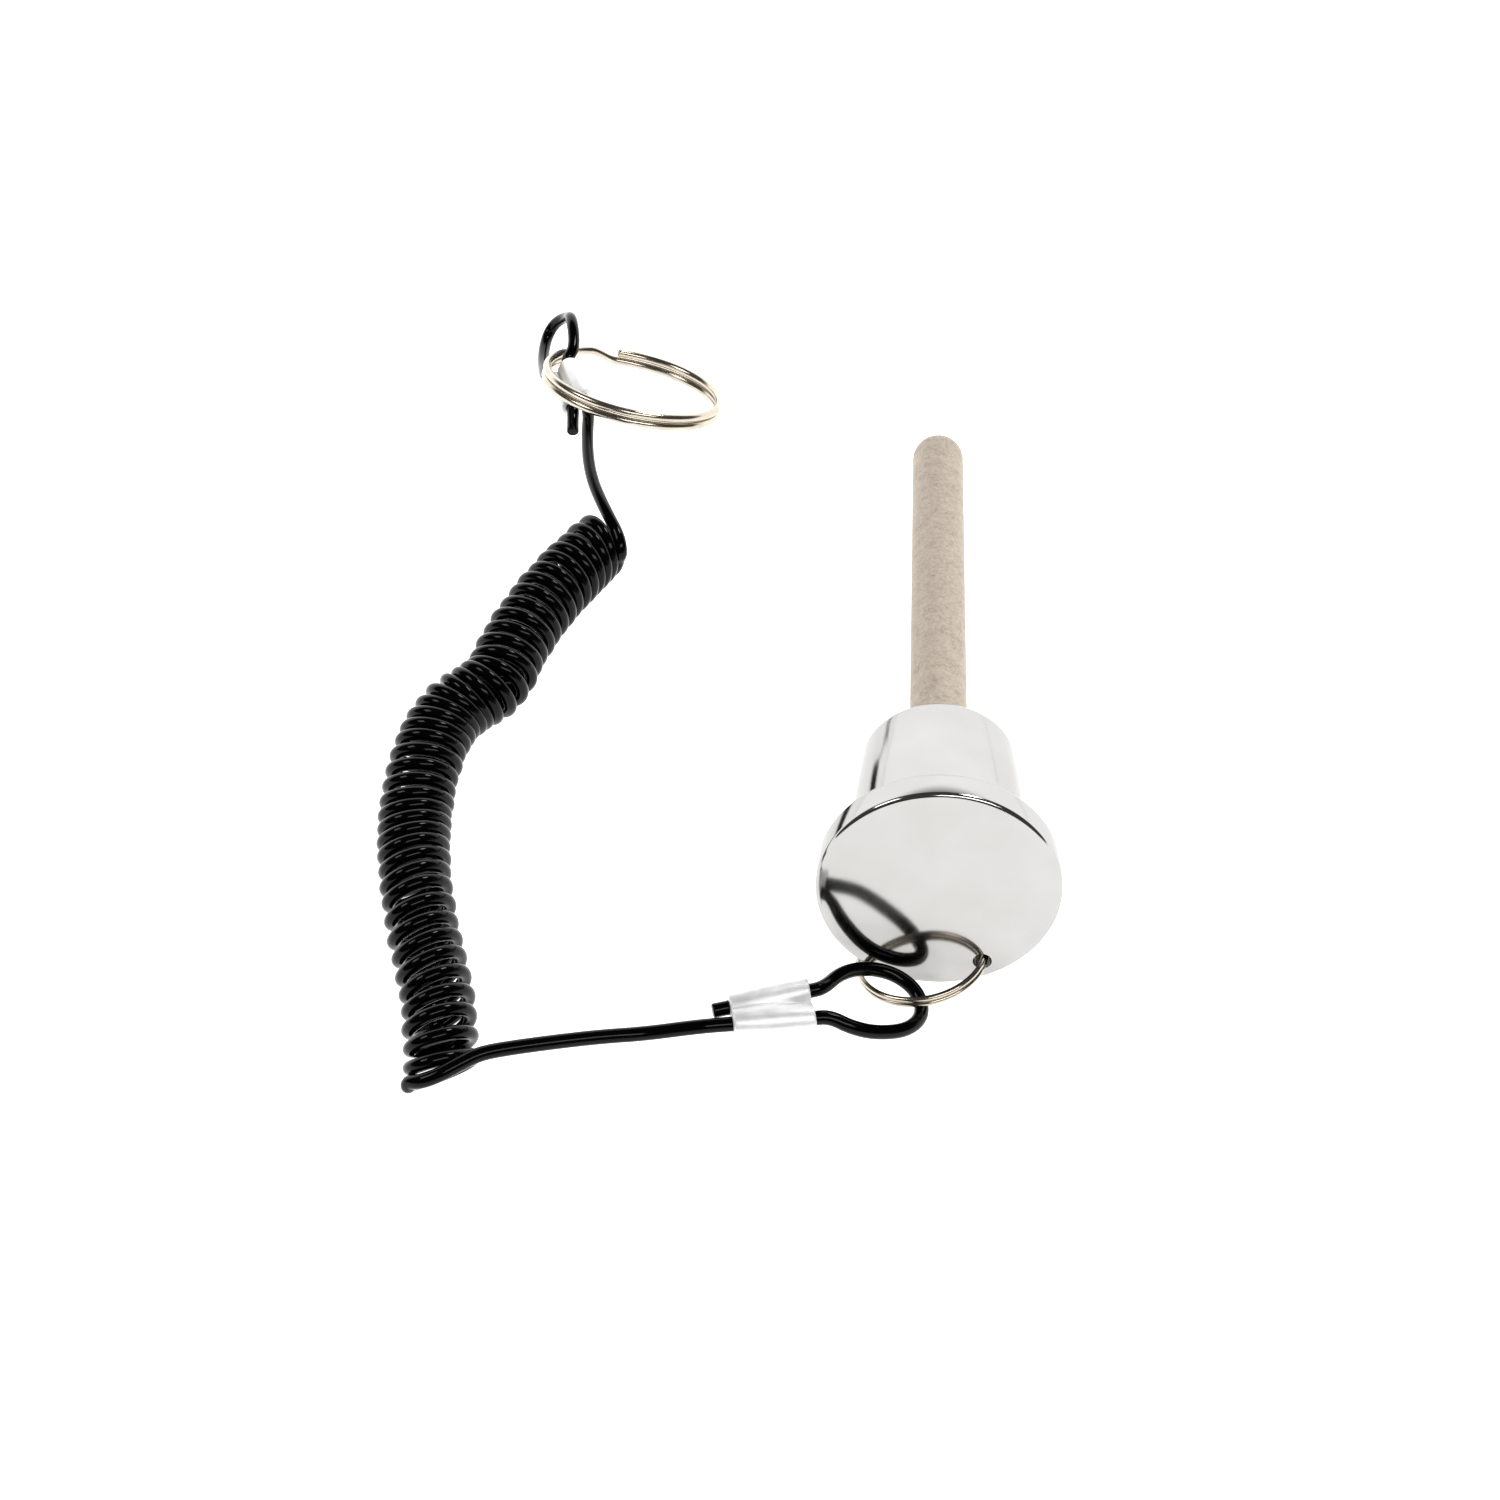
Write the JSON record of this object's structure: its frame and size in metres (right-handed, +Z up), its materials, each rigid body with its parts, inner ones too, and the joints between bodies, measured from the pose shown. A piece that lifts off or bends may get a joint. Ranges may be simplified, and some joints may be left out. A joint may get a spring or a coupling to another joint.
{
  "type": "weight stack pin",
  "caption": "Weight stack selector pin: turned knob on a plain round-ended shank, with a coiled cord lanyard crimped to a small and a large split ring.",
  "frame": {"origin": "on the ground under the middle of the pin (knob and shank), which lies on its flange's back edge and its ball end", "axes": "+Z up, +Y along the pin from the knob to the tip, +X to the right seen from the knob; the lanyard lies at -X"},
  "size_m": [0.1111, 0.1984, 0.0384],
  "materials": {
    "knob_steel": "turned and mirror polished",
    "shank_steel": "tumbled, matt grey",
    "ring_nickel": "nickel plated spring wire, bright",
    "sleeve_aluminium": "bright, drawn and crimped",
    "cord_vinyl": "glossy black vinyl"
  },
  "bodies": {
    "pin": {"knob": "knob_steel", "shank": "shank_steel"},
    "small_ring": {"knob_ring": "ring_nickel"},
    "lanyard": {"knob_sleeve": "sleeve_aluminium", "knob_loop": "cord_vinyl", "knob_lead": "cord_vinyl", "coil": "cord_vinyl", "ring_lead": "cord_vinyl", "ring_loop": "cord_vinyl", "ring_sleeve": "sleeve_aluminium"},
    "large_ring": {"key_ring": "ring_nickel"}
  },
  "joints": [
    {"name": "small_ring_swing", "type": "hinge", "parent": "pin", "child": "small_ring", "pos_m": [0.00744, -0.06573, 0.00579], "axis": [0, 0.9931, -0.1171], "range_deg": [-212, 0]},
    {"name": "lanyard_swing", "type": "hinge", "parent": "small_ring", "child": "lanyard", "pos_m": [-0.00189, -0.06358, 0.00353], "axis": [-0.2096, 0.1145, 0.9711], "range_deg": [0, 60]},
    {"name": "key_ring_swing", "type": "hinge", "parent": "lanyard", "child": "large_ring", "pos_m": [-0.07008, 0.08982, 0.00605], "axis": [-0.7389, -0.5688, 0.3612], "range_deg": [0, 150]}
  ]
}
